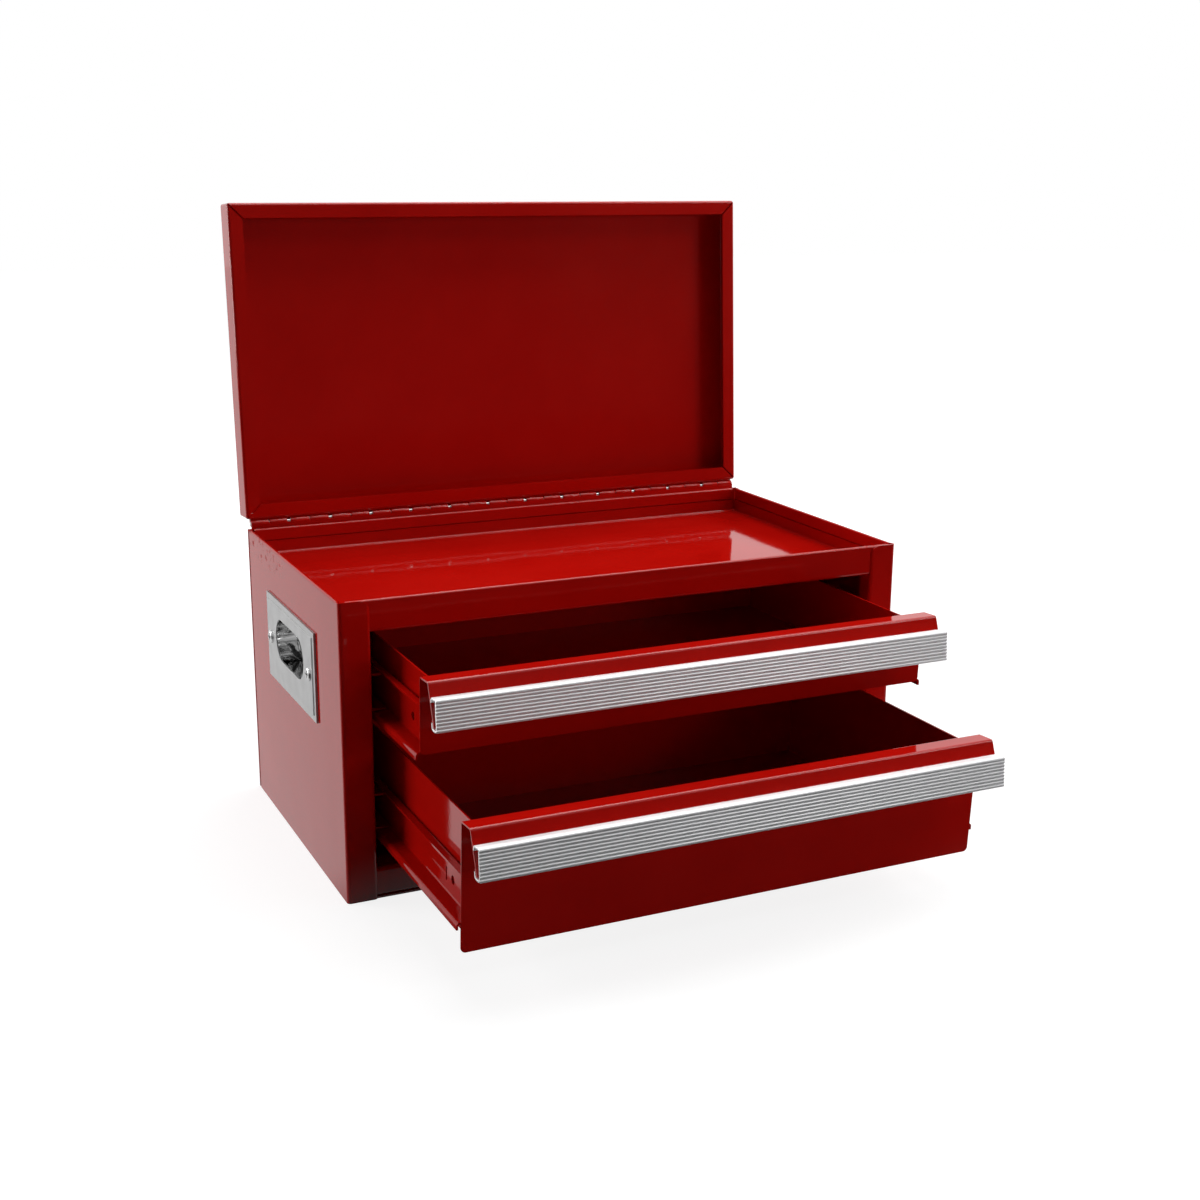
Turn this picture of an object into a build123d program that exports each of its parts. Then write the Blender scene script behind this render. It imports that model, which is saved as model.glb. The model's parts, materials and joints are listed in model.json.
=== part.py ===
from build123d import *
from collections import namedtuple
import math
import os

# A small steel tool box: a cabinet with a tray under its lid, two drawers below the tray,
# and a lid on a long piano hinge. Millimetres. X runs left to right, Y front to back, Z up.
# The origin is the centre of the base, on the surface that the box stands on.
# The box is drawn as it stands in use: lid open, both drawers pulled part of the way out.

os.makedirs("parts", exist_ok=True)

# Cabinet
cabinet_width = 330.0
cabinet_depth = 185.0
cabinet_height = 161.0
cabinet_sheet = 1.0
bend_radius = 1.6
weld_gap = 0.05
post_width = 16.5
post_lip_depth = 10.0
post_corner_radius = 6.0
rail_height = 17.0
rail_flange = 14.0
rear_flange = 12.0
hem_depth = 7.0
hem_gap = 0.3
hem_corner_gap = 2.5
tray_depth = 16.0
tray_wall = 8.3
base_wall = 10.0

# Lid
lid_depth = 181.8
lid_wall = 17.5
lid_rim = 8.5
lid_sheet = 1.0
lid_edge_radius = 1.6
lid_gap = 1.0
lid_mitre_gap = 0.9
lid_open_angle = 93.6

# Piano hinge
hinge_length = 325.0
hinge_pitch = 25.4
hinge_leaf_height = 12.0
hinge_sheet = 0.65
hinge_pin_radius = 1.1
hinge_running_gap = 0.08
hinge_barrel_gap = 0.85
hinge_tight_gap = 0.4
hinge_open_gap = 2.2
hinge_pin_height = 2.6
hinge_leaf_clearance = 0.15
hinge_curl_angle = 298.0

# Drawers
drawer_sheet = 0.8
drawer_bend_radius = 1.2
drawer_side_inset = 28.5
drawer_wall_drop = 3.6
drawer_floor_rise = 1.5
drawer_rear_gap = 12.0
drawer_travel = 125.0
front_side_gap = 5.0
front_lean = 3.0
front_corner_radius = 2.5
front_top_depth = 12.0
front_top_rise = 3.0
front_ledge_angle = 21.0
front_ledge_length = 21.6
front_hem = 4.0
upper_front_height = 40.0
upper_front_top = 137.8
upper_drawer_pulled_out = 59.0
lower_front_height = 67.0
lower_front_top = 85.2
lower_drawer_pulled_out = 112.5

# Channels on the drawers and the runners that carry them
channel_sheet = 1.0
channel_top_width = 5.0
channel_width = 9.0
channel_height = 25.6
channel_lip = 3.2
channel_rise = 0.5
channel_bend_radius = 1.5
channel_rear_gap = 1.5
channel_hole_radius = 2.3
channel_hole_drop = 12.4
channel_hole_setback = 29.0
channel_slot_width = 1.8
channel_slot_height = 7.0
channel_slot_setback = 38.0
upper_channel_drop = 17.0
lower_channel_drop = 29.5
runner_sheet = 1.0
runner_reach = 10.5
runner_gap = 0.4
runner_front_setback = 6.5
stop_tab_reach = 0.3
stop_tab_thickness = 1.5
stop_gap = 0.5

# Pulls
pull_height = 16.4
pull_depth = 7.6
pull_wall = 1.1
pull_bend_radius = 1.7
pull_drop = 5.2
pull_lean = -4.0
pull_top_hook = 2.7
pull_lower_hook = 3.8
pull_groove_count = 9
pull_groove_pitch = 1.4
pull_groove_depth = 0.45
pull_first_groove = 3.8

# Side handles
plate_length = 97.0
plate_height = 49.3
plate_thickness = 1.6
plate_border_width = 3.2
plate_border_thickness = 1.1
plate_bevel = 0.4
plate_front_setback = 44.0
plate_bottom = 85.0
cup_length = 57.0
cup_height = 24.0
cup_depth = 13.0
cup_sheet = 0.8
cup_flange = 4.0
cup_rise = 3.0
cup_bottom_radius = 3.0
cup_clearance = 0.2
screw_spacing = 78.0
screw_radius = 2.0
screw_length = 8.0
screw_head_radius = 3.7
screw_head_height = 1.3
screw_head_rounding = 0.9
screw_recess_width = 1.0
screw_recess_length = 4.4
screw_recess_depth = 0.8
screw_hole_clearance = 0.2

# Worked out from the sizes above
half_width = cabinet_width / 2
front_y = -cabinet_depth / 2
back_y = cabinet_depth / 2
inner_half_width = half_width - cabinet_sheet
opening_half_width = half_width - post_width
rail_front_y = front_y + cabinet_sheet + weld_gap
rail_half_width = inner_half_width - 2 * bend_radius
inner_back_y = back_y - cabinet_sheet
tray_z = cabinet_height - tray_depth
opening_top = cabinet_height - rail_height
rim_z = cabinet_height + lid_gap
pin_z = cabinet_height + hinge_pin_height
knuckle_bore_radius = hinge_pin_radius + hinge_running_gap
knuckle_mid_radius = knuckle_bore_radius + hinge_sheet / 2
knuckle_radius = knuckle_bore_radius + hinge_sheet
pin_y = back_y + hinge_barrel_gap + knuckle_radius
hinge_axis = Axis((0, pin_y, pin_z), (1, 0, 0))
drawer_half_width = half_width - drawer_side_inset
front_half_width = opening_half_width - front_side_gap
runner_web_x = opening_half_width + cabinet_sheet + weld_gap
runner_rear_y = inner_back_y - weld_gap

Drawer = namedtuple("Drawer", "name top height channel_drop pulled_out has_slot")
upper_drawer = Drawer(
    "upper", upper_front_top, upper_front_height, upper_channel_drop, upper_drawer_pulled_out, False)
lower_drawer = Drawer(
    "lower", lower_front_top, lower_front_height, lower_channel_drop, lower_drawer_pulled_out, True)


def sheet_profile(points, radius, thickness):
    """The cut edge of a folded sheet, drawn along the middle of its thickness."""
    return trace(FilletPolyline(*points, radius=radius), line_width=thickness)


def extruded_across(profile, width):
    """A profile drawn in Y and Z, drawn out evenly to both sides of the middle."""
    return extrude(Plane.YZ * profile, amount=width / 2, both=True)


def extruded_back(profile, start_y, end_y):
    """A profile drawn in X and Z, drawn out from the front towards the back."""
    start = Plane((0, start_y, 0), x_dir=(1, 0, 0), z_dir=(0, -1, 0))
    return extrude(start * profile, amount=start_y - end_y)


def block(x, y, z):
    """A plain block between two limits along each axis."""
    size = [high - low for low, high in (x, y, z)]
    middle = [(low + high) / 2 for low, high in (x, y, z)]
    return Pos(*middle) * Box(*size)


def one_solid(shape):
    """The single solid that a finished piece is made of."""
    solids = shape.solids()
    assert len(solids) == 1, len(solids)
    return solids[0]


def mirrored(shape):
    """The same piece for the other side of the box."""
    return mirror(shape, about=Plane.YZ)


def rim_hem():
    """The folded top edge of a wall: outer face at 0, folded over towards plus."""
    middle = cabinet_sheet / 2
    fold_radius = (cabinet_sheet + hem_gap) / 2
    outer_foot = (middle, cabinet_height - hem_depth)
    outer_top = (middle, cabinet_height - middle - fold_radius)
    fold_top = (middle + fold_radius, cabinet_height - middle)
    inner_top = (middle + 2 * fold_radius, cabinet_height - middle - fold_radius)
    inner_foot = (middle + 2 * fold_radius, cabinet_height - hem_depth)
    fold = ThreePointArc(outer_top, fold_top, inner_top)
    return trace(Line(outer_foot, outer_top) + fold + Line(inner_top, inner_foot), line_width=cabinet_sheet)


def left_side_panel():
    """Side wall, front post and rear welding flange, folded from one sheet, with a hemmed rim."""
    middle = cabinet_sheet / 2
    post_lip_x = -opening_half_width - middle
    wall_x = -half_width + middle
    rear_y = inner_back_y - weld_gap - middle
    points = [
        (post_lip_x, front_y + post_lip_depth),
        (post_lip_x, front_y + middle),
        (wall_x, front_y + middle),
        (wall_x, rear_y),
        (-half_width + rear_flange, rear_y),
    ]
    panel = extrude(sheet_profile(points, bend_radius, cabinet_sheet), amount=cabinet_height)
    lip_x = (-opening_half_width - cabinet_sheet - bend_radius, 0)
    lip_y = (front_y + cabinet_sheet, back_y)
    panel -= block(lip_x, lip_y, (opening_top - weld_gap, cabinet_height))
    panel -= block(lip_x, lip_y, (0, rail_height + weld_gap))
    panel -= block((-inner_half_width, 0), (0, back_y), (tray_z - weld_gap, cabinet_height))
    rim_y = (rail_front_y + 2 * bend_radius, inner_back_y - 2 * bend_radius)
    panel -= block((-half_width, -inner_half_width), rim_y, (cabinet_height - hem_depth, cabinet_height))
    panel += extruded_back(Pos(-half_width, 0) * rim_hem(), *rim_y)
    corner_x = -opening_half_width - post_corner_radius
    corner_z = cabinet_height - post_corner_radius
    corner = block((corner_x, 0), (front_y, 0), (corner_z, cabinet_height))
    corner -= Pos(corner_x, 0, corner_z) * Rot(90, 0, 0) * Cylinder(post_corner_radius, cabinet_depth)
    panel -= corner
    panel -= handle_opening()
    return one_solid(panel)


def handle_plane():
    """The outside of the left wall at the middle of its handle plate, seen from the left."""
    middle_y = front_y + plate_front_setback + plate_length / 2
    middle_z = plate_bottom + plate_height / 2
    return Plane((-half_width, middle_y, middle_z), x_dir=(0, -1, 0), z_dir=(-1, 0, 0))


def screw_places():
    """Where the two screws of a handle plate stand on the handle plane."""
    return [(-screw_spacing / 2, 0), (screw_spacing / 2, 0)]


def cup_outline(allowance):
    """The round-ended outline of the finger cup, larger all round by an allowance."""
    return Pos(0, cup_rise) * SlotOverall(cup_length + 2 * allowance, cup_height + 2 * allowance)


def screw_holes(depth):
    """Holes for the two screws of a handle plate, cut both ways from the handle plane."""
    hole = Circle(screw_radius + screw_hole_clearance)
    first, second = [handle_plane() * Pos(*place) * hole for place in screw_places()]
    return extrude(first, amount=depth, both=True) + extrude(second, amount=depth, both=True)


def handle_opening():
    """What is cut out of a side wall for the finger cup and the two screws."""
    cup = handle_plane() * cup_outline(cup_sheet + cup_clearance)
    return extrude(cup, amount=2 * cabinet_sheet, both=True) + screw_holes(2 * cabinet_sheet)


def left_handle_plate():
    """Cover plate with a thinner border and a round-ended window for the fingers."""
    outline = Rectangle(plate_length, plate_height)
    field = Rectangle(plate_length - 2 * plate_border_width, plate_height - 2 * plate_border_width)
    raised = extrude(handle_plane() * field, amount=plate_thickness)
    raised = chamfer(raised.faces().sort_by(Axis.X)[0].edges(), plate_bevel)
    plate = extrude(handle_plane() * outline, amount=plate_border_thickness) + raised
    plate -= extrude(handle_plane() * cup_outline(0), amount=plate_thickness)
    plate -= extrude(handle_plane() * cup_outline(cup_flange + cup_clearance), amount=cup_sheet + weld_gap)
    plate -= screw_holes(plate_thickness)
    return one_solid(plate)


def left_handle_cup():
    """Pressed finger cup: a round-ended pocket with a flange that the plate holds down."""
    outer = extrude(handle_plane() * cup_outline(cup_sheet), amount=-cup_depth)
    outer = fillet(outer.faces().sort_by(Axis.X)[-1].edges(), cup_bottom_radius)
    inner = extrude(handle_plane() * cup_outline(0), amount=cup_sheet - cup_depth)
    inner = fillet(inner.faces().sort_by(Axis.X)[-1].edges(), cup_bottom_radius - cup_sheet)
    flange = extrude(handle_plane() * (cup_outline(cup_flange) - cup_outline(0)), amount=cup_sheet)
    return one_solid(outer + flange - inner)


def handle_screw():
    """Domed cross-head screw, its head seated on a plane at height 0."""
    head = Pos(0, 0, screw_head_height / 2) * Cylinder(screw_head_radius, screw_head_height)
    head = fillet(head.edges().group_by(Axis.Z)[-1], screw_head_rounding)
    shank = Pos(0, 0, -screw_length / 2) * Cylinder(screw_radius, screw_length)
    recess = Pos(0, 0, screw_head_height - screw_recess_depth / 2)
    arm = Box(screw_recess_length, screw_recess_width, screw_recess_depth)
    return one_solid(head + shank - recess * arm - recess * Rot(0, 0, 90) * arm)


def handle_screws():
    """The four screws that hold the two handle plates."""
    seat = handle_plane().offset(plate_thickness)
    left = [seat.location * Pos(*place) * handle_screw() for place in screw_places()]
    return Compound(children=left + [mirrored(screw) for screw in left])


def back_panel():
    """Flat rear wall over the flanges of the side panels, with a hemmed rim."""
    hem_half_width = inner_half_width - hem_corner_gap
    wall_y = (inner_back_y, back_y)
    rim = (cabinet_height - hem_depth, cabinet_height)
    panel = block((-half_width, half_width), wall_y, (0, cabinet_height))
    panel -= block((-hem_half_width, hem_half_width), wall_y, rim)
    hem = Pos(back_y, 0) * mirror(rim_hem(), about=Plane.YZ)
    return one_solid(panel + extruded_across(hem, 2 * hem_half_width))


def base_panel():
    """Bottom of the cabinet, turned up inside the side walls and, between their flanges, at the rear."""
    middle = cabinet_sheet / 2
    side_x = inner_half_width - weld_gap - middle
    rear_y = inner_back_y - weld_gap - middle
    flange_y = inner_back_y - cabinet_sheet - 2 * weld_gap
    across = [(-side_x, base_wall), (-side_x, middle), (side_x, middle), (side_x, base_wall)]
    along = [(rail_front_y, middle), (rear_y, middle), (rear_y, base_wall)]
    side_walls = sheet_profile(across, bend_radius, cabinet_sheet)
    pan = extruded_back(side_walls, rail_front_y + bend_radius, flange_y - bend_radius)
    rear_wall = sheet_profile(along, bend_radius, cabinet_sheet)
    rear_half_width = half_width - rear_flange - weld_gap
    return one_solid(pan + extruded_across(rear_wall, 2 * rear_half_width))


def front_bottom_rail():
    """Channel below the drawers, on the base and behind the feet of the two posts."""
    middle = cabinet_sheet / 2
    rail_y = rail_front_y + middle
    low_z = cabinet_sheet + weld_gap + middle
    high_z = rail_height - middle
    flange_y = rail_y + rail_flange
    points = [(flange_y, low_z), (rail_y, low_z), (rail_y, high_z), (flange_y, high_z)]
    return one_solid(extruded_across(sheet_profile(points, bend_radius, cabinet_sheet), 2 * rail_half_width))


def front_top_rail():
    """Rail above the drawers: hemmed rim, plain face and a flange under the tray."""
    middle = cabinet_sheet / 2
    rail_y = rail_front_y + middle
    low_z = opening_top + middle
    points = [(rail_y, cabinet_height - hem_depth), (rail_y, low_z), (rail_y + rail_flange, low_z)]
    profile = sheet_profile(points, bend_radius, cabinet_sheet) + Pos(rail_front_y, 0) * rim_hem()
    return one_solid(extruded_across(profile, 2 * rail_half_width))


def tray_space(margin):
    """The room for the tray inside the walls, drawn in by a margin, its lower edges rounded."""
    half_x = inner_half_width - weld_gap - margin
    tray_y = (rail_front_y + cabinet_sheet + weld_gap + margin, inner_back_y - weld_gap - margin)
    space = block((-half_x, half_x), tray_y, (tray_z + margin, tray_z + tray_wall))
    return fillet(space.edges().group_by(Axis.Z)[0], bend_radius + cabinet_sheet / 2 - margin)


def tray_floor():
    """Floor of the top tray, turned up on all four sides below the hems of the walls, slit at its corners."""
    tray = tray_space(0) - tray_space(cabinet_sheet)
    wall_x = inner_half_width - weld_gap - cabinet_sheet
    slit_z = (tray_z + bend_radius + cabinet_sheet / 2, cabinet_height)
    slit = block((-wall_x, hem_corner_gap - inner_half_width), (front_y, back_y), slit_z)
    return one_solid(tray - slit - mirrored(slit))


def channel_bottom(drawer):
    """Height of the lower edge of a drawer's channels."""
    return drawer.top - drawer.channel_drop - channel_height


def left_runner(drawer):
    """Fixed runner: a channel open towards the drawer, tied to the post lip and the rear wall."""
    middle = runner_sheet / 2
    top_z = drawer.top - drawer.channel_drop - channel_sheet - runner_gap - middle
    bottom_z = channel_bottom(drawer) + channel_lip + channel_rise + channel_sheet / 2 + runner_gap + middle
    web_x = -runner_web_x - middle
    tip_x = -runner_web_x + runner_reach
    points = [(tip_x, top_z), (web_x, top_z), (web_x, bottom_z), (tip_x, bottom_z)]
    start_y = front_y + runner_front_setback
    runner = extruded_back(sheet_profile(points, channel_bend_radius, runner_sheet), start_y, runner_rear_y)
    runner += block((-runner_web_x, tip_x), (runner_rear_y - runner_sheet, runner_rear_y), (bottom_z, top_z))
    lip_y = (start_y, front_y + post_lip_depth + weld_gap)
    return one_solid(runner - block((-runner_web_x, 0), lip_y, (0, cabinet_height)))


def channel_profile(drawer):
    """Channel open outwards, its lower flange ending in a turned-down lip."""
    middle = channel_sheet / 2
    top_z = drawer.top - drawer.channel_drop - middle
    flange_z = channel_bottom(drawer) + channel_lip
    web_x = -drawer_half_width - weld_gap - middle
    lip_x = -drawer_half_width - channel_width + middle
    upper = [(-drawer_half_width - channel_top_width, top_z), (web_x, top_z)]
    lower = [(web_x, flange_z + channel_rise), (lip_x, flange_z), (lip_x, channel_bottom(drawer))]
    return sheet_profile(upper + lower, channel_bend_radius, channel_sheet)


def left_channel(drawer):
    """Channel on the left wall of a drawer, with its holes and the tab that stops the drawer."""
    end_y = inner_back_y - runner_sheet - channel_rear_gap
    channel = extruded_back(channel_profile(drawer), front_y, end_y) - leaning_front_space(drawer)
    hole_z = drawer.top - drawer.channel_drop - channel_hole_drop
    hole = Pos(-drawer_half_width, front_y + channel_hole_setback, hole_z) * Rot(0, 90, 0)
    channel -= hole * Cylinder(channel_hole_radius, 4 * channel_sheet)
    if drawer.has_slot:
        slot = Pos(-drawer_half_width, front_y + channel_slot_setback, hole_z)
        channel -= slot * Box(4 * channel_sheet, channel_slot_width, channel_slot_height)
    tab_y = front_y + post_lip_depth + drawer_travel + stop_gap
    tab_x = (-runner_web_x + stop_tab_reach, -drawer_half_width - channel_width + channel_sheet / 2)
    tab_z = (channel_bottom(drawer), channel_bottom(drawer) + channel_lip)
    return one_solid(channel + block(tab_x, (tab_y, tab_y + stop_tab_thickness), tab_z))


def leaning_front_space(drawer):
    """All that lies in front of the back of a closed drawer's front."""
    space_y = (-cabinet_depth, drawer_sheet + weld_gap)
    space = block((-half_width, half_width), space_y, (-cabinet_height, cabinet_height))
    return Pos(0, front_y, drawer.top) * Rot(front_lean, 0, 0) * space


def drawer_box(drawer):
    """Drawer body folded from one sheet: floor, two sides and a back, open where the front goes on."""
    middle = drawer_sheet / 2
    side_x = drawer_half_width - middle
    floor_z = drawer.top - drawer.height + drawer_floor_rise + middle
    wall_top = drawer.top - drawer_wall_drop
    rear_y = inner_back_y - drawer_rear_gap
    across = [(-side_x, wall_top), (-side_x, floor_z), (side_x, floor_z), (side_x, wall_top)]
    body = extruded_back(sheet_profile(across, drawer_bend_radius, drawer_sheet), front_y, rear_y)
    body += block((-side_x, side_x), (rear_y - drawer_sheet, rear_y), (floor_z, wall_top))
    return one_solid(body - leaning_front_space(drawer))


def polar(start, length, degrees_from_down):
    """The point at a distance from another, in Y and Z, measured from straight down towards the back."""
    turn = math.radians(degrees_from_down)
    return (start[0] + length * math.sin(turn), start[1] - length * math.cos(turn))


def front_corners(height):
    """Foot, top, ledge corner and ledge foot of a closed drawer's front, from the front's upper edge."""
    middle = drawer_sheet / 2
    top = (middle, -middle)
    corner = polar(top, front_top_depth - drawer_sheet, -90 - front_top_rise)
    ledge_foot = polar(corner, front_ledge_length, -front_ledge_angle)
    return [polar(top, height - middle, front_lean), top, corner, ledge_foot]


def drawer_front(drawer):
    """Drawer front folded from one sheet: leaning panel, top, and a hemmed ledge that carries the pull."""
    panel = front_corners(drawer.height)
    foot = panel[-1]
    sheet = extruded_across(sheet_profile(panel, drawer_bend_radius, drawer_sheet), 2 * front_half_width)
    hem_foot = polar(foot, drawer_sheet, 90 - front_ledge_angle)
    hem_top = polar(hem_foot, -front_hem, -front_ledge_angle)
    sheet += extruded_across(trace(Line(hem_foot, hem_top), line_width=drawer_sheet), 2 * front_half_width)
    panel_feet = sheet.edges().filter_by(Axis.X, reverse=True).group_by(Axis.Z)[0]
    sheet = fillet(panel_feet.filter_by(GeomType.LINE), front_corner_radius)
    return one_solid(Pos(0, front_y, drawer.top) * sheet)


def pull_profile():
    """Ribbed front wall with a short hook at its top and a longer one at its foot, both turned back."""
    half_wall = pull_wall / 2
    back = pull_depth - half_wall
    foot = half_wall - pull_height
    outline = [
        (back, -pull_top_hook),
        (back, -half_wall),
        (half_wall, -half_wall),
        (half_wall, foot),
        (back, foot),
        (back, pull_lower_hook - pull_height),
    ]
    profile = trace(FilletPolyline(*outline, radius=pull_bend_radius), line_width=pull_wall)
    groove = Rot(0, 0, 45) * Rectangle(pull_groove_depth * math.sqrt(2), pull_groove_depth * math.sqrt(2))
    for index in range(pull_groove_count):
        profile -= Pos(0, -pull_first_groove - index * pull_groove_pitch) * groove
    return profile


def drawer_pull(drawer):
    """Ribbed extrusion on the ledge, the tip of its top hook against the ledge's outer face."""
    lean = math.radians(pull_lean)
    ledge = math.radians(front_ledge_angle)
    tip_drop = pull_drop + pull_top_hook * math.cos(lean) - pull_depth * math.sin(lean)
    ledge_forward = tip_drop * math.tan(ledge) + drawer_sheet / 2 / math.cos(ledge)
    forward = ledge_forward + weld_gap + pull_depth * math.cos(lean) + pull_top_hook * math.sin(lean)
    corner = front_corners(drawer.height)[2]
    place = Pos(0, front_y + corner[0] - forward, drawer.top + corner[1] - pull_drop) * Rot(pull_lean, 0, 0)
    return one_solid(place * extruded_across(pull_profile(), 2 * front_half_width))


def hinge_gaps():
    """Middles of the open gaps of the hinge, where the bare pin shows."""
    count = int((hinge_length / 2 - hinge_pitch / 4) // hinge_pitch) * 2
    return [(index - (count - 1) / 2) * hinge_pitch for index in range(count)]


def knuckle_spans():
    """Left and right ends of every knuckle, in pairs of one cabinet and one lid knuckle."""
    gaps = hinge_gaps()
    starts = [-hinge_length / 2] + [middle + hinge_open_gap / 2 for middle in gaps]
    ends = [middle - hinge_open_gap / 2 for middle in gaps] + [hinge_length / 2]
    pairs = []
    for start, end in zip(starts, ends):
        joint = (start + end) / 2
        pairs.append(((start, joint - hinge_tight_gap / 2), (joint + hinge_tight_gap / 2, end)))
    return pairs


def knuckle_profile():
    """One rolled knuckle over a stub of leaf, in Y and Z, the leaf below the pin."""
    leaf_y = back_y + hinge_sheet / 2 + weld_gap
    curl_y = pin_y - knuckle_mid_radius
    turn = math.radians(180 - hinge_curl_angle)
    half_turn = math.radians(180 - hinge_curl_angle / 2)
    foot = (leaf_y, pin_z - 2 * knuckle_radius)
    start = (curl_y, pin_z)
    over = knuckle_mid_radius * math.cos(half_turn), knuckle_mid_radius * math.sin(half_turn)
    under = knuckle_mid_radius * math.cos(turn), knuckle_mid_radius * math.sin(turn)
    middle = (pin_y + over[0], pin_z + over[1])
    end = (pin_y + under[0], pin_z + under[1])
    path = Line(foot, start) + ThreePointArc(start, middle, end)
    return trace(path, line_width=hinge_sheet)


def hinge_leaf(spans):
    """Flat leaf on the outside of the rear wall, with a rolled knuckle on each of the spans."""
    leaf_top = pin_z - hinge_leaf_clearance
    leaf_bottom = cabinet_height - hinge_leaf_height
    leaf_y = (back_y + weld_gap, back_y + weld_gap + hinge_sheet)
    leaf = block((-hinge_length / 2, hinge_length / 2), leaf_y, (leaf_bottom, leaf_top))
    profile = Plane.YZ * knuckle_profile()
    for start, end in spans:
        leaf += Pos(start, 0, 0) * extrude(profile, amount=end - start)
    return one_solid(leaf)


def cabinet_hinge_leaf():
    """The leaf that is welded to the cabinet."""
    return hinge_leaf([pair[0] for pair in knuckle_spans()])


def lid_hinge_leaf():
    """The leaf that is welded to the lid, turned over about the pin, shown with the lid closed."""
    leaf = hinge_leaf([pair[1] for pair in knuckle_spans()])
    return mirror(leaf, about=Plane((0, 0, pin_z), z_dir=(0, 0, 1)))


def hinge_pin():
    """The long pin through all the knuckles."""
    return Pos(0, pin_y, pin_z) * Rot(0, 90, 0) * Cylinder(hinge_pin_radius, hinge_length)


def lid_box(margin, bottom_z, top_z):
    """A block over the cabinet, drawn in by a margin from the outside of the closed lid."""
    across = (margin - half_width, half_width - margin)
    return block(across, (back_y - lid_depth + margin, back_y - margin), (bottom_z, top_z))


def rounded_lid_box(margin):
    """The closed lid's outer or inner skin as a block with all its edges rounded."""
    skin = lid_box(margin, rim_z + margin, rim_z + lid_wall - margin)
    return fillet(skin.edges(), lid_edge_radius - margin)


def lid_shell():
    """Lid folded from one sheet, with an inward rim that is mitred at its corners, shown closed."""
    shell = rounded_lid_box(0) - rounded_lid_box(lid_sheet) - lid_box(lid_rim, rim_z, rim_z + 2 * lid_sheet)
    lid_y = back_y - lid_depth / 2
    from_corner = (lid_rim + lid_mitre_gap) / 2
    slit_length = (lid_rim + lid_mitre_gap) * math.sqrt(2)
    for side_x in (-1, 1):
        for side_y in (-1, 1):
            x = side_x * (half_width - from_corner)
            y = lid_y + side_y * (lid_depth / 2 - from_corner)
            slit = Box(slit_length, lid_mitre_gap, 3 * lid_sheet)
            shell -= Pos(x, y, rim_z) * Rot(0, 0, 45 * side_x * side_y) * slit
    return one_solid(shell)


def opened(piece):
    """A piece of the closed lid, swung up and back on the hinge."""
    return piece.rotate(hinge_axis, -lid_open_angle)


def pulled_out(piece, distance):
    """A piece of a closed drawer, drawn out towards the front."""
    return Pos(0, -distance, 0) * piece


def drawer_pieces(drawer):
    """The moving pieces of one drawer, each under its own name, pulled out as in use."""
    channel = left_channel(drawer)
    pieces = {
        "drawer_box": drawer_box(drawer),
        "drawer_front": drawer_front(drawer),
        "drawer_pull": drawer_pull(drawer),
        "drawer_left_channel": channel,
        "drawer_right_channel": mirrored(channel),
    }
    return {f"{drawer.name}_{name}": pulled_out(piece, drawer.pulled_out) for name, piece in pieces.items()}


def runner_pieces(drawer):
    """The two fixed runners of one drawer."""
    runner = left_runner(drawer)
    return {f"{drawer.name}_left_runner": runner, f"{drawer.name}_right_runner": mirrored(runner)}


def all_pieces():
    """Every piece of the box under the name of its file."""
    side = left_side_panel()
    plate = left_handle_plate()
    cup = left_handle_cup()
    return {
        "left_side_panel": side,
        "right_side_panel": mirrored(side),
        "back_panel": back_panel(),
        "base_panel": base_panel(),
        "front_bottom_rail": front_bottom_rail(),
        "front_top_rail": front_top_rail(),
        "tray_floor": tray_floor(),
        **runner_pieces(upper_drawer),
        **runner_pieces(lower_drawer),
        "left_handle_plate": plate,
        "right_handle_plate": mirrored(plate),
        "left_handle_cup": cup,
        "right_handle_cup": mirrored(cup),
        "handle_screws": handle_screws(),
        "cabinet_hinge_leaf": cabinet_hinge_leaf(),
        "hinge_pin": hinge_pin(),
        "lid_shell": opened(lid_shell()),
        "lid_hinge_leaf": opened(lid_hinge_leaf()),
        **drawer_pieces(upper_drawer),
        **drawer_pieces(lower_drawer),
    }


for name, piece in all_pieces().items():
    export_step(piece, f"parts/{name}.step")
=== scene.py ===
"""Looks of the small steel tool box: enamel, aluminium pulls, plated handles, piano hinge, light and camera.

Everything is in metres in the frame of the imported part: X to the right, Y to the rear, Z up.
"""

import json
import math

import bmesh
import bpy
from mathutils import Matrix, Vector


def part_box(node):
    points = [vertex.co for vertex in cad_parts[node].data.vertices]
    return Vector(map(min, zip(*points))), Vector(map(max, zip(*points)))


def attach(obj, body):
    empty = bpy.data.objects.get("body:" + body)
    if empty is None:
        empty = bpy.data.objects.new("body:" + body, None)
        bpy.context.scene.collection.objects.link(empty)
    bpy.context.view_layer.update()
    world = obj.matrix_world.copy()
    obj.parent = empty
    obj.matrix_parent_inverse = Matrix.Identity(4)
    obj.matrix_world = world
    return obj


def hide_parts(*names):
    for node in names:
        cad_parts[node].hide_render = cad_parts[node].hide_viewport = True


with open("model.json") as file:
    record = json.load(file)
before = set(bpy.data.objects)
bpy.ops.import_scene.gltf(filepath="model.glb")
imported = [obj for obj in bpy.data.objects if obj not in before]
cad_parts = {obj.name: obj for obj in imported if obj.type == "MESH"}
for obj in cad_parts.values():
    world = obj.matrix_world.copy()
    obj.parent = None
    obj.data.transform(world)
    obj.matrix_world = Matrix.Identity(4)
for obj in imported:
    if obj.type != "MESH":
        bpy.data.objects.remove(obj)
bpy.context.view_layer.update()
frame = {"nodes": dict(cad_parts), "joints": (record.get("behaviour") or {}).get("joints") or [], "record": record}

MM = 0.001

# Camera: where it stands, how it is turned (degrees about X, Y, Z), and its lens on a 36 mm sensor
camera_place = (-0.3841, -0.8589, 0.3734)
camera_turn = (75.09, -0.41, -25.16)
camera_lens = 49.7

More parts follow.
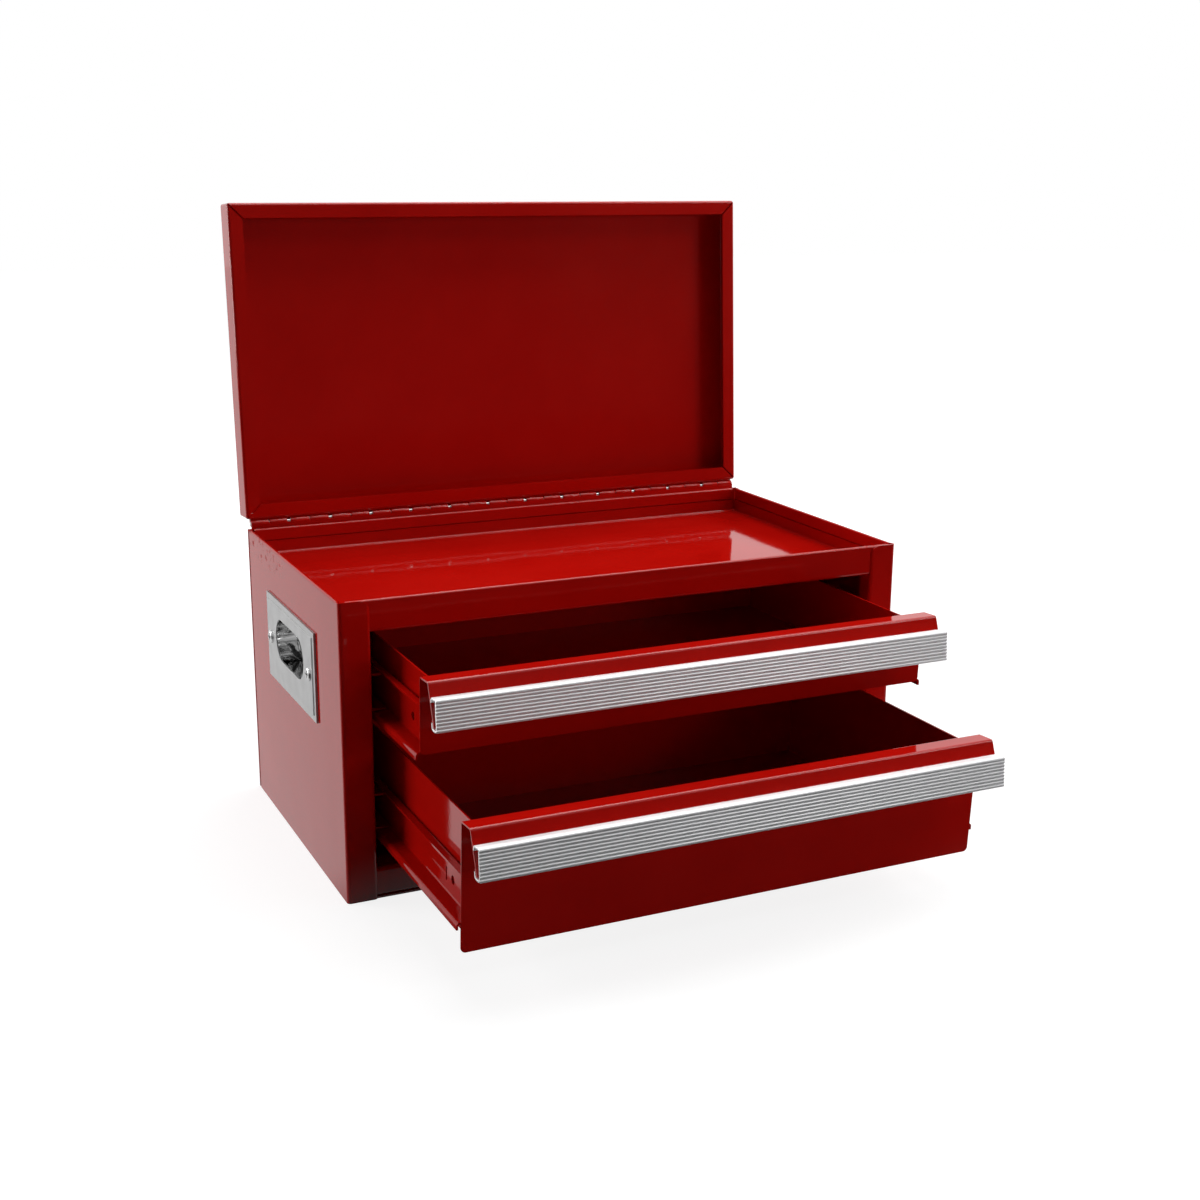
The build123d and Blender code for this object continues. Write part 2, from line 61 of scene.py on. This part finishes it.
# Floor: its reach, its shade to the camera and to the light, and two soft steps, each as start, end, first
# and last value. The first turns the floor white away from the box, to the camera. The second makes it dark
# in front and bright at the rear, in reflections, across the given direction.
floor_reach = 5.0
floor_shade_seen = 0.25
floor_shade_lit = 0.35
floor_whitening = (0.25, 0.7, 0.86, 1.0)
floor_across = (0.3, 1, 0)
floor_mirrored = (-0.20, -0.09, 0.02, 0.8)

# World: weak light from all round, and how bright the room is in reflections, as soft steps along the
# direction's own X, Y and Z. In front it is dark low down, and on the left it is dark higher up.
ambient_strength = 0.015
front_heights = (0.32, 0.6, 0.05, 1.0)
front_start, front_end = -0.5, 0.0
left_heights = (0.15, 0.35, 1.0, 0.1)
left_start, left_end = -0.75, -0.35

# Lamps are turned towards this place in the box
lamp_target = (0, 0, 0.12)

# All colour ramps change between these two values of their noise
ramp_start, ramp_end = 0.35, 0.65

# Red enamel: its colours, its gloss and its relief
enamel_specular = 0.32
enamel_dark = (0.435, 0.0035, 0.0015, 1)
enamel_light = (0.465, 0.005, 0.0025, 1)
enamel_cloud = 50 * MM
enamel_roughness = (0.04, 0.08)
gloss_cloud = 12 * MM
peel_size = 2.2 * MM
peel_depth = 0.010 * MM
wave_size = 35 * MM
wave_depth = 0.12 * MM

# Chips in the enamel: their colour, gloss and depth, where the noise turns into spots, and where they lie on
# the left side panel, outwards of chip_side, from chip_front to the rear and from chip_low to chip_top
chip_colour = (0.36, 0.012, 0.008, 1)
chip_roughness = 0.7
chip_depth = 0.15 * MM
chip_edge = (0.60, 0.66)
chip_side = 164 * MM
chip_fade = 0.5 * MM
chip_front = 5 * MM
chip_rear = 30 * MM
chip_low = 146 * MM
chip_high = 152 * MM
chip_top = 162 * MM
chip_size = 3.5 * MM

# Aluminium: lines along its length, its colours and its roughness
line_width = 1.0 * MM
line_stretch = (0.01, 1, 1)
aluminium_metallic = 0.6
aluminium_dark = (0.88, 0.88, 0.89, 1)
aluminium_light = (0.94, 0.94, 0.95, 1)
aluminium_roughness = (0.44, 0.52)

# Grey paint of the handle plates, bright plating of the finger cups, zinc plating of screws and hinge pin
plate_look = {"metallic": 0.35, "cloud": 8 * MM, "greys": (0.46, 0.52), "roughness": (0.34, 0.44)}
cup_look = {"metallic": 1.0, "cloud": 6 * MM, "greys": (0.68, 0.76), "roughness": (0.06, 0.12)}
screw_look = {"metallic": 1.0, "cloud": 2 * MM, "greys": (0.55, 0.70), "roughness": (0.22, 0.34)}
grain_size = 0.6 * MM
grain_depth = 0.004 * MM

# Edges of strips, and the angle above which an edge stays sharp
edge_rounding = 0.15 * MM
edge_points = 2
smooth_angle = math.radians(38)

# Piano hinge
hinge_length = 325 * MM
hinge_pitch = 25.4 * MM
hinge_sheet = 0.65 * MM
leaf_distance = 2.63 * MM
knuckle_radius = 1.93 * MM
knuckle_length = 11.4 * MM
knuckle_offset = 5.9 * MM
end_length = 10.65 * MM
end_centres = (-157.175 * MM, 146.125 * MM)
knuckle_count = 13
curl_angle = math.radians(318)
curl_steps = 36
leaf_reach = 14.6 * MM
leaf_clearance = 0.15 * MM
# A thin strip on the lid's leaf behind the barrel, put there only so that the gaps round the pin show dark: a
# sheet that stands in for shade. Its height and thickness follow.
shade_lip_height = 2.3 * MM
shade_lip_sheet = 0.3 * MM
lid_opening = math.radians(93.6)

# Drawer pulls
pull_height = 16.4 * MM
pull_depth = 7.6 * MM
pull_wall = 1.1 * MM
pull_bend_radius = 1.7 * MM
pull_bend_points = 6
pull_lean = math.radians(-4)
pull_top_hook = 2.7 * MM
pull_lower_hook = 3.8 * MM
rib_count = 8
rib_pitch = 1.76 * MM
rib_radius = 0.92 * MM
rib_sheet = 0.3 * MM
rib_arc = math.radians(126)
rib_steps = 10
rib_rise = 0.45 * MM
first_rib = 2.98 * MM
plain_top = 1.75 * MM


# Materials


class Nodes:
    """A node tree that is put together one line at a time."""

    def __init__(self, tree):
        self.nodes = tree.nodes
        self.links = tree.links

    def add(self, kind, **settings):
        """A new node with its settings."""
        node = self.nodes.new(kind)
        for name, value in settings.items():
            setattr(node, name, value)
        return node

    def feed(self, socket, value):
        """Joins an output to a socket, or sets a number on it."""
        if isinstance(value, bpy.types.NodeSocket):
            self.links.new(value, socket)
        else:
            socket.default_value = value

    def step(self, value, start, end, first, last):
        """A soft step from a first number to a last one as a value goes from start to end."""
        node = self.add("ShaderNodeMapRange", interpolation_type="SMOOTHSTEP")
        names = ("Value", "From Min", "From Max", "To Min", "To Max")
        for name, number in zip(names, (value, start, end, first, last)):
            self.feed(node.inputs[name], number)
        return node.outputs["Result"]

    def rounded(self, curve, points, radius):
        """A curve with arcs of a few points at its corners."""
        node = self.add("GeometryNodeFilletCurve", mode="POLY")
        node.inputs["Limit Radius"].default_value = True
        self.links.new(curve, node.inputs["Curve"])
        self.feed(node.inputs["Count"], points)
        self.feed(node.inputs["Radius"], radius)
        return node.outputs["Curve"]

    def either(self, choice, at_0, at_1):
        """One of two numbers or outputs, by a value of 0 or 1."""
        node = self.add("ShaderNodeMix", data_type="FLOAT")
        self.links.new(choice, node.inputs["Factor"])
        self.feed(node.inputs["A"], at_0)
        self.feed(node.inputs["B"], at_1)
        return node.outputs["Result"]


class Finish(Nodes):
    """A node material on the object's own coordinates."""

    def __init__(self, name):
        self.material = bpy.data.materials.new(name)
        self.material.use_nodes = True
        super().__init__(self.material.node_tree)
        self.shader = self.nodes["Principled BSDF"]
        self.place = self.add("ShaderNodeTexCoord").outputs["Object"]

    def set(self, **values):
        """Values that are the same all over, on the shader's own sockets."""
        for name, value in values.items():
            self.shader.inputs[name.replace("_", " ")].default_value = value

    def stretched(self, scale):
        """The object's coordinates, stretched along its axes."""
        mapping = self.add("ShaderNodeMapping")
        mapping.inputs["Scale"].default_value = scale
        self.links.new(self.place, mapping.inputs["Vector"])
        return mapping.outputs["Vector"]

    def noise(self, size, detail=2.0, stretch=(1, 1, 1)):
        """Noise whose spots are about a given size, in metres."""
        node = self.add("ShaderNodeTexNoise")
        node.inputs["Scale"].default_value = 1 / size
        node.inputs["Detail"].default_value = detail
        self.links.new(self.stretched(stretch), node.inputs["Vector"])
        return node.outputs["Fac"]

    def ramp(self, value, low, high):
        """A value turned into a colour or grey between two ends."""
        node = self.add("ShaderNodeValToRGB")
        first, last = node.color_ramp.elements
        first.position, last.position = ramp_start, ramp_end
        first.color, last.color = low, high
        self.links.new(value, node.inputs["Fac"])
        return node.outputs["Color"]

    def spread(self, value, low, high):
        """A value from 0 to 1 turned into a range of numbers."""
        node = self.add("ShaderNodeMapRange")
        node.inputs["To Min"].default_value = low
        node.inputs["To Max"].default_value = high
        self.links.new(value, node.inputs["Value"])
        return node.outputs["Result"]

    def tinted(self, amount, colour, tint):
        """A colour that turns into another as an amount goes from 0 to 1."""
        node = self.add("ShaderNodeMix", data_type="RGBA")
        sockets = {socket.identifier: socket for socket in (*node.inputs, *node.outputs)}
        self.links.new(amount, sockets["Factor_Float"])
        self.links.new(colour, sockets["A_Color"])
        sockets["B_Color"].default_value = tint
        return sockets["Result_Color"]

    def bump(self, heights):
        """Relief from several heights, each with its depth in metres."""
        normal = None
        for height, depth in heights:
            node = self.add("ShaderNodeBump")
            node.inputs["Strength"].default_value = 1.0
            node.inputs["Distance"].default_value = depth
            self.links.new(height, node.inputs["Height"])
            if normal:
                self.links.new(normal, node.inputs["Normal"])
            normal = node.outputs["Normal"]
        return normal

    def into(self, output, socket):
        """Joins an output to one of the shader's sockets."""
        self.links.new(output, self.shader.inputs[socket])


def grey(value):
    """A neutral colour."""
    return (value, value, value, 1)


def chips(finish):
    """Where the enamel is chipped: small spots below the left side's upper edge, towards the rear."""
    parts = finish.add("ShaderNodeSeparateXYZ")
    finish.links.new(finish.place, parts.inputs[0])
    x, y, z = parts.outputs
    where = finish.step(x, -chip_side, -chip_side + chip_fade, 1.0, 0.0)
    where = finish.either(where, 0.0, finish.step(y, chip_front, chip_rear, 0.0, 1.0))
    where = finish.either(where, 0.0, finish.step(z, chip_low, chip_high, 0.0, 1.0))
    where = finish.either(where, 0.0, finish.step(z, chip_top, chip_top + chip_fade, 1.0, 0.0))
    spots = finish.step(finish.noise(chip_size, 2), *chip_edge, 0.0, 1.0)
    return finish.either(where, 0.0, spots)


def red_enamel():
    """Glossy red enamel with orange peel, faint waves of the sheet, uneven colour and a few chips."""
    finish = Finish("red enamel")
    finish.set(Specular_IOR_Level=enamel_specular)
    chipped = chips(finish)
    colour = finish.ramp(finish.noise(enamel_cloud, 3), enamel_dark, enamel_light)
    finish.into(finish.tinted(chipped, colour, chip_colour), "Base Color")
    gloss = finish.spread(finish.noise(gloss_cloud, 3), *enamel_roughness)
    finish.into(finish.either(chipped, gloss, chip_roughness), "Roughness")
    peel = finish.noise(peel_size, 1)
    waves = finish.noise(wave_size, 1)
    relief = [(waves, wave_depth), (peel, peel_depth), (chipped, -chip_depth)]
    finish.into(finish.bump(relief), "Normal")
    return finish.material


def satin_aluminium():
    """Extruded aluminium: fine lines along its length under a soft satin sheen."""
    finish = Finish("satin aluminium")
    finish.set(Metallic=aluminium_metallic)
    lines = finish.noise(line_width, 2, line_stretch)
    finish.into(finish.ramp(lines, aluminium_dark, aluminium_light), "Base Color")
    finish.into(finish.spread(lines, *aluminium_roughness), "Roughness")
    return finish.material


def clouded(name, look):
    """A grey finish whose shade and gloss vary a little in clouds."""
    finish = Finish(name)
    finish.set(Metallic=look["metallic"])
    cloud = finish.noise(look["cloud"], 3)
    dark, light = look["greys"]
    finish.into(finish.ramp(cloud, grey(dark), grey(light)), "Base Color")
    finish.into(finish.spread(cloud, *look["roughness"]), "Roughness")
    return finish


def plate_grey():
    """Satin grey paint on the handle plates, with a fine grain."""
    finish = clouded("satin grey plate", plate_look)
    finish.into(finish.bump([(finish.noise(grain_size), grain_depth)]), "Normal")
    return finish.material


def slot_materials():
    """The finish of each material slot of the record."""
    return {
        "red_enamel": red_enamel(),
        "pull_aluminium": satin_aluminium(),
        "grey_enamel": plate_grey(),
        "bright_plating": clouded("bright plating", cup_look).material,
        "plated_steel": clouded("plated steel", screw_look).material,
    }


def dress(piece, finish):
    """Gives a piece one finish all over."""
    piece.data.materials.clear()
    piece.data.materials.append(finish)


# Pieces folded from strip


def strip_tree():
    """Geometry nodes: a strip that follows a drawn path in Y and Z, repeated on every point of the mesh."""
    tree = bpy.data.node_groups.new("folded strips", "GeometryNodeTree")
    face = tree.interface
    face.new_socket(name="Points", in_out="INPUT", socket_type="NodeSocketGeometry")
    face.new_socket(name="Path", in_out="INPUT", socket_type="NodeSocketObject")
    for name in ("Width", "Sheet", "Bend Radius", "Edge Radius"):
        face.new_socket(name=name, in_out="INPUT", socket_type="NodeSocketFloat")
    face.new_socket(name="Bend Points", in_out="INPUT", socket_type="NodeSocketInt")
    face.new_socket(name="Finish", in_out="INPUT", socket_type="NodeSocketMaterial")
    face.new_socket(name="Strips", in_out="OUTPUT", socket_type="NodeSocketGeometry")
    group = Nodes(tree)
    given = group.add("NodeGroupInput").outputs
    path = group.add("GeometryNodeObjectInfo", transform_space="ORIGINAL")
    group.links.new(given["Path"], path.inputs["Object"])
    line = group.add("GeometryNodeMeshToCurve")
    group.links.new(path.outputs["Geometry"], line.inputs["Mesh"])
    bent = group.rounded(line.outputs["Curve"], given["Bend Points"], given["Bend Radius"])
    section = group.add("GeometryNodeCurvePrimitiveQuadrilateral")
    group.links.new(given["Sheet"], section.inputs["Width"])
    group.links.new(given["Width"], section.inputs["Height"])
    section = group.rounded(section.outputs["Curve"], edge_points, given["Edge Radius"])
    swept = group.add("GeometryNodeCurveToMesh")
    group.links.new(bent, swept.inputs["Curve"])
    group.links.new(section, swept.inputs["Profile Curve"])
    swept.inputs["Fill Caps"].default_value = True
    upright = group.add("GeometryNodeTransform")
    upright.inputs["Rotation"].default_value = (math.pi / 2, 0, math.pi / 2)
    group.links.new(swept.outputs["Mesh"], upright.inputs["Geometry"])
    stretch = group.add("GeometryNodeInputNamedAttribute", data_type="FLOAT")
    stretch.inputs["Name"].default_value = "stretch"
    scale = group.add("ShaderNodeCombineXYZ")
    group.links.new(stretch.outputs["Attribute"], scale.inputs["X"])
    scale.inputs["Y"].default_value = scale.inputs["Z"].default_value = 1
    repeated = group.add("GeometryNodeInstanceOnPoints")
    group.links.new(given["Points"], repeated.inputs["Points"])
    group.links.new(upright.outputs["Geometry"], repeated.inputs["Instance"])
    group.links.new(scale.outputs["Vector"], repeated.inputs["Scale"])
    real = group.add("GeometryNodeRealizeInstances")
    group.links.new(repeated.outputs["Instances"], real.inputs["Geometry"])
    painted = group.add("GeometryNodeSetMaterial")
    group.links.new(real.outputs["Geometry"], painted.inputs["Geometry"])
    group.links.new(given["Finish"], painted.inputs["Material"])
    output = group.add("NodeGroupOutput")
    group.links.new(painted.outputs["Geometry"], output.inputs["Strips"])
    return tree


def drawn(name, points, edges=()):
    """A mesh object of points and edges, not yet part of the box."""
    mesh = bpy.data.meshes.new(name)
    mesh.from_pydata(points, edges, [])
    piece = bpy.data.objects.new(name, mesh)
    bpy.context.scene.collection.objects.link(piece)
    return piece


def strips(tree, path, places, width, sheet, finish, bend=(0.0, 1), stretches=None):
    """Strips of one width and thickness along a path of (y, z) points, one at each place, as a mesh."""
    edges = [(index, index + 1) for index in range(len(path) - 1)]
    route = drawn("route", [(y, z, 0) for y, z in path], edges)
    holder = drawn("holder", places)
    lengths = holder.data.attributes.new("stretch", "FLOAT", "POINT")
    lengths.data.foreach_set("value", stretches or [1.0] * len(places))
    values = {"Path": route, "Width": width, "Sheet": sheet, "Finish": finish}
    values.update({"Edge Radius": edge_rounding, "Bend Radius": bend[0], "Bend Points": bend[1]})
    modifier = holder.modifiers.new("strips", "NODES")
    modifier.node_group = tree
    for item in tree.interface.items_tree:
        if item.in_out == "INPUT" and item.name in values:
            modifier[item.identifier] = values[item.name]
    bpy.context.view_layer.update()
    graph = bpy.context.evaluated_depsgraph_get()
    mesh = bpy.data.meshes.new_from_object(holder.evaluated_get(graph))
    for helper in (holder, route):
        bpy.data.objects.remove(helper)
    return mesh


def made_piece(name, meshes, place, body, node, finish):
    """One closed, smooth piece of several meshes, put in its place, that stands for a node of the model."""
    shape = bmesh.new()
    for mesh in meshes:
        shape.from_mesh(mesh)
    bmesh.ops.recalc_face_normals(shape, faces=shape.faces)
    shape.transform(place)
    mesh = bpy.data.meshes.new(name)
    shape.to_mesh(mesh)
    shape.free()
    mesh.shade_smooth()
    mesh.set_sharp_from_angle(angle=smooth_angle)
    piece = bpy.data.objects.new(name, mesh)
    bpy.context.scene.collection.objects.link(piece)
    dress(piece, finish)
    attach(piece, body)
    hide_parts(node)
    return piece


def knuckle_path():
    """From the foot of the leaf's stub to the pin and round it, in Y and Z from the pin's middle."""
    leaf_y = -leaf_distance + hinge_sheet / 2
    middle_radius = knuckle_radius - hinge_sheet / 2
    path = [(leaf_y, -2 * knuckle_radius)]
    for step in range(curl_steps + 1):
        angle = math.pi - curl_angle * step / curl_steps
        path.append((middle_radius * math.cos(angle), middle_radius * math.sin(angle)))
    return path


def hinge_knuckles(tree, finish):
    """The cabinet leaf's knuckles; each end one is shorter, because the hinge ends near a gap."""
    first = -(knuckle_count - 1) / 2 * hinge_pitch - knuckle_offset
    centres = [first + index * hinge_pitch for index in range(knuckle_count)]
    centres[0], centres[-1] = end_centres
    stretches = [1.0] * knuckle_count
    stretches[0] = stretches[-1] = end_length / knuckle_length
    places = [(x, 0, 0) for x in centres]
    return strips(tree, knuckle_path(), places, knuckle_length, hinge_sheet, finish, stretches=stretches)


def piano_hinge(tree, finish):
    """Both leaves of the hinge, the lid's turned end for end over the pin and swung open, with a thin strip of
    painted shade behind its barrel.
    """
    joint = next(joint for joint in frame["joints"] if joint["name"] == "lid_hinge")
    pin = Matrix.Translation(Vector(joint["pos_m"]))
    leaf_y = -leaf_distance + hinge_sheet / 2
    leaf_path = [(leaf_y, -leaf_reach), (leaf_y, -leaf_clearance)]
    leaf = strips(tree, leaf_path, [(0, 0, 0)], hinge_length, hinge_sheet, finish)
    meshes = [leaf, hinge_knuckles(tree, finish)]
    # The lid's leaf also carries a thin strip behind the barrel. It is put there only to darken the gaps round the
    # pin, as painted shade in the form of a sheet.
    shade_lip_path = [(leaf_y, -shade_lip_height), (0, -shade_lip_height)]
    shade_lip = strips(tree, shade_lip_path, [(0, 0, 0)], hinge_length, shade_lip_sheet, finish)
    opened = Matrix.Rotation(-lid_opening, 4, "X") @ Matrix.Rotation(math.pi, 4, "Y")
    made_piece("cabinet_leaf_with_knuckles", meshes, pin, "cabinet", "cabinet_hinge_leaf", finish)
    meshes.append(shade_lip)
    made_piece("lid_leaf_with_knuckles", meshes, pin @ opened, "lid", "lid_hinge_leaf", finish)


def ribbed_pull(tree, drawer, finish):
    """A drawer pull: a channel whose front wall is set back below a plain band and carries round ribs."""
    node = drawer + "_pull"
    low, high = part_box(node)
    width = high[0] - low[0]
    front = pull_wall / 2
    back = pull_depth - front
    outline = [(back, -pull_top_hook), (back, -front), (front, -front), (front, -plain_top)]
    outline += [(front + rib_rise, -plain_top - rib_rise), (front + rib_rise, front - pull_height)]
    outline += [(back, front - pull_height), (back, pull_lower_hook - pull_height)]
    bend = (pull_bend_radius, pull_bend_points)
    body = strips(tree, outline, [(0, 0, 0)], width, pull_wall, finish, bend)
    angles = [rib_arc * (step / rib_steps - 0.5) for step in range(rib_steps + 1)]
    arm = rib_radius - rib_sheet / 2
    rib_path = [(rib_radius - arm * math.cos(angle), -arm * math.sin(angle)) for angle in angles]
    places = [(0, 0, -first_rib - index * rib_pitch) for index in range(rib_count)]
    ribs = strips(tree, rib_path, places, width, rib_sheet, finish)
    lean = Matrix.Rotation(pull_lean, 4, "X")
    points = [lean @ vertex.co for mesh in (body, ribs) for vertex in mesh.vertices]
    shift = Vector(low) - Vector([min(point[axis] for point in points) for axis in range(3)])
    place = Matrix.Translation(shift) @ lean
    made_piece(node + "_ribbed", [body, ribs], place, drawer, node, finish)


# Light, floor and camera


def studio_camera():
    """The camera at the photograph's angle."""
    camera = bpy.data.objects.new("camera", bpy.data.cameras.new("camera"))
    camera.data.lens = camera_lens
    camera.location = camera_place
    camera.rotation_euler = [math.radians(angle) for angle in camera_turn]
    bpy.context.scene.collection.objects.link(camera)
    bpy.context.scene.camera = camera


def lamp(name, place, width, height, watts, mirrored=True):
    """A rectangular softbox at a place, turned towards the box, and shown in reflections or not."""
    light = bpy.data.lights.new(name, "AREA")
    light.shape = "RECTANGLE"
    light.size, light.size_y, light.energy = width, height, watts
    box = bpy.data.objects.new(name, light)
    box.location = place
    box.visible_glossy = mirrored
    box.rotation_euler = (Vector(lamp_target) - Vector(place)).to_track_quat("-Z", "Y").to_euler()
    bpy.context.scene.collection.objects.link(box)


def studio_light():
    """A large softbox overhead, one on each side, and two faint ones at the front on the right. The right
    one and the low one don't show in reflections."""
    lamp("overhead softbox", (0.30, 0.20, 1.4), 1.2, 1.1, 18)
    lamp("right softbox", (1.6, 0.2, 0.8), 0.9, 0.9, 20, mirrored=False)
    lamp("left softbox", (-1.6, 0.9, 0.55), 0.9, 0.9, 21)
    lamp("high front softbox", (1.2, -1.1, 1.45), 0.6, 0.6, 5)
    lamp("low front softbox", (1.1, -1.5, 0.5), 0.7, 0.5, 5, mirrored=False)


def studio_world():
    """Weak light from all round. The background is white, also in reflections, except low down behind the
    camera and higher up on the left, where the room is dark."""
    world = bpy.data.worlds.new("studio")
    bpy.context.scene.world = world
    world.use_nodes = True
    studio = Nodes(world.node_tree)
    studio.nodes.clear()
    lamps_only = studio.add("ShaderNodeBackground")
    lamps_only.inputs["Strength"].default_value = ambient_strength
    white = studio.add("ShaderNodeBackground")
    mix = studio.add("ShaderNodeMixShader")
    output = studio.add("ShaderNodeOutputWorld")
    for node in (lamps_only, white):
        node.inputs["Color"].default_value = grey(1)
    direction = studio.add("ShaderNodeTexCoord").outputs["Generated"]
    parts = studio.add("ShaderNodeSeparateXYZ")
    studio.links.new(direction, parts.inputs[0])
    x, y, z = parts.outputs
    rays = studio.add("ShaderNodeLightPath").outputs
    front = studio.step(y, front_start, front_end, studio.step(z, *front_heights), 1.0)
    left = studio.step(x, left_start, left_end, studio.step(z, *left_heights), 1.0)
    room = studio.either(front, 0.0, left)
    studio.links.new(studio.either(rays["Is Glossy Ray"], 1.0, room), white.inputs["Strength"])
    seen = studio.either(rays["Is Glossy Ray"], rays["Is Camera Ray"], 1.0)
    seen = studio.either(rays["Is Transmission Ray"], seen, 1.0)
    studio.links.new(seen, mix.inputs["Fac"])
    studio.links.new(lamps_only.outputs[0], mix.inputs[1])
    studio.links.new(white.outputs[0], mix.inputs[2])
    studio.links.new(mix.outputs[0], output.inputs["Surface"])


def floor():
    """A wide pale floor that keeps the box's shadow and turns white away from the box. In reflections it
    glows by itself, brighter behind the box than in front."""
    mesh = bpy.data.meshes.new("floor")
    corners = [(-floor_reach, -floor_reach, 0), (floor_reach, -floor_reach, 0)]
    corners += [(floor_reach, floor_reach, 0), (-floor_reach, floor_reach, 0)]
    mesh.from_pydata(corners, [], [(0, 1, 2, 3)])
    piece = bpy.data.objects.new("floor", mesh)
    bpy.context.scene.collection.objects.link(piece)
    finish = Finish("pale floor")
    finish.set(Roughness=0.9, Specular_IOR_Level=0.0, Emission_Color=grey(1))
    distance = finish.add("ShaderNodeVectorMath", operation="LENGTH")
    finish.links.new(finish.place, distance.inputs[0])
    whiter = finish.step(distance.outputs["Value"], *floor_whitening)
    across = finish.add("ShaderNodeVectorMath", operation="DOT_PRODUCT")
    finish.links.new(finish.place, across.inputs[0])
    across.inputs[1].default_value = floor_across
    mirrored = finish.step(across.outputs["Value"], *floor_mirrored)
    rays = finish.add("ShaderNodeLightPath").outputs
    shade = finish.either(rays["Is Glossy Ray"], floor_shade_lit, 0.0)
    finish.into(finish.either(rays["Is Camera Ray"], shade, floor_shade_seen), "Base Color")
    glow = finish.either(rays["Is Glossy Ray"], 0.0, mirrored)
    finish.into(finish.either(rays["Is Camera Ray"], glow, whiter), "Emission Strength")
    dress(piece, finish.material)


studio_camera()
finishes = slot_materials()
for part in frame["record"]["subparts"]:
    dress(frame["nodes"][part["node"]], finishes[part["material_slot"]])
strip_nodes = strip_tree()
piano_hinge(strip_nodes, finishes["red_enamel"])
for drawer_name in ("upper_drawer", "lower_drawer"):
    ribbed_pull(strip_nodes, drawer_name, finishes["pull_aluminium"])
studio_light()
studio_world()
floor()
bpy.context.scene.view_settings.view_transform = "Standard"
